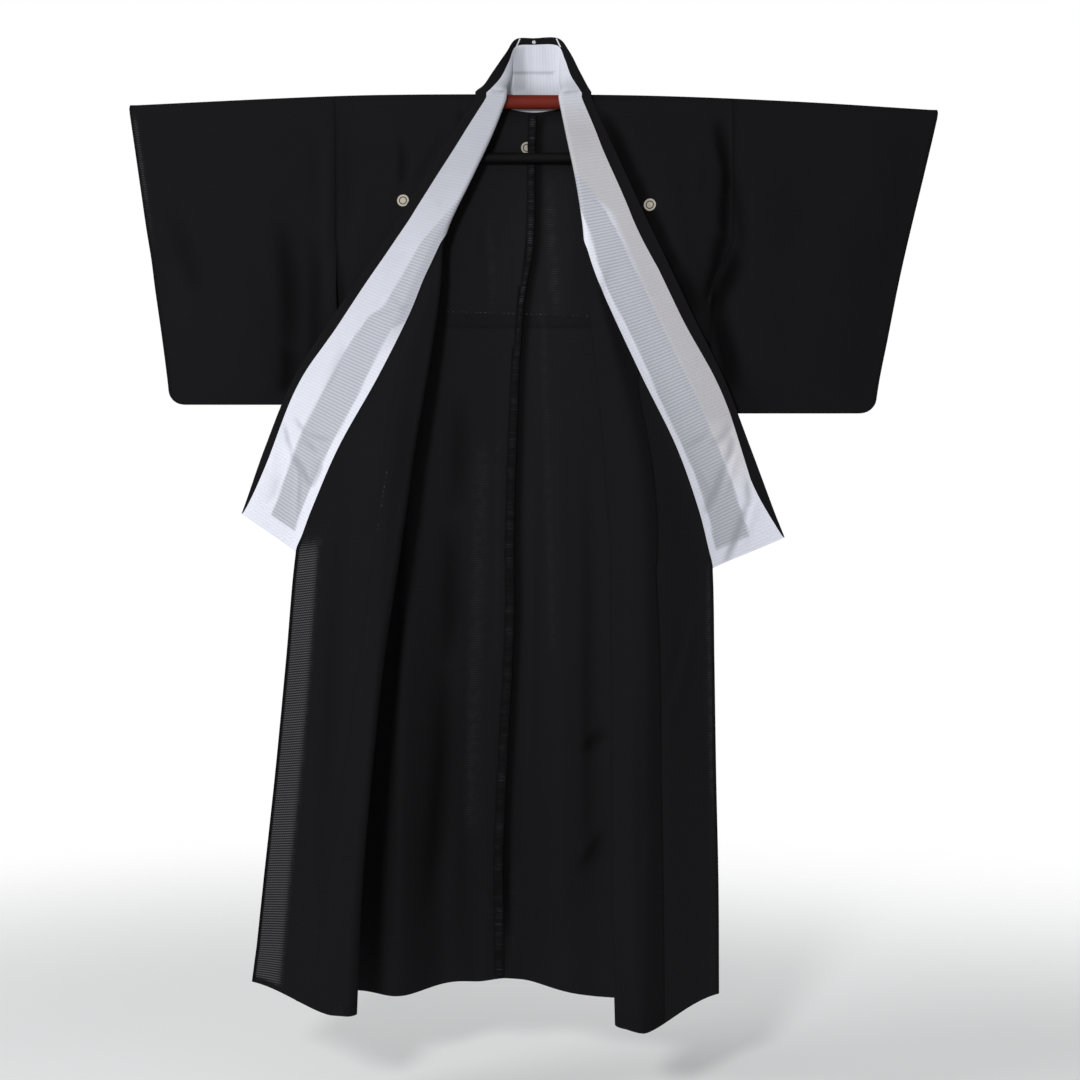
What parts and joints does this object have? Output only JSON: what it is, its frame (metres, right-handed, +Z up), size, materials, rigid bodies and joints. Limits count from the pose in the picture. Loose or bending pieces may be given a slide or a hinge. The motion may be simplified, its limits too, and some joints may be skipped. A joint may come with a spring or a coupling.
{
  "type": "mourning kimono on a hanger bar",
  "caption": "Unlined black summer mourning kimono in sheer leno gauze, hung by its sleeves on a bar, fronts thrown open and the wide collar turned out to its white lining.",
  "frame": {"origin": "middle of the hanger's upper bar, where it is held", "axes": "+Z up, +Y towards the garment's back, +X along the bar to the wearer's left; metres"},
  "size_m": [1.299, 0.2258, 1.5697],
  "materials": {
    "black_ro": "matt sheer leno gauze",
    "white_ro": "matt sheer leno gauze",
    "red_lacquer": "satin",
    "black_tube": "satin",
    "steel": "satin"
  },
  "bodies": {
    "root": {"body_right": "black_ro", "body_left": "black_ro", "overlap_right": "black_ro", "overlap_left": "black_ro", "sleeve_right": "black_ro", "sleeve_left": "black_ro", "collar": "black_ro", "collar_lining": "white_ro", "centre_binding": "black_ro", "collar_snap": "steel", "hanger_bar": "red_lacquer", "hanger_lower_bar": "black_tube", "hanger_link_right": "black_tube", "hanger_link_left": "black_tube"}
  },
  "joints": []
}
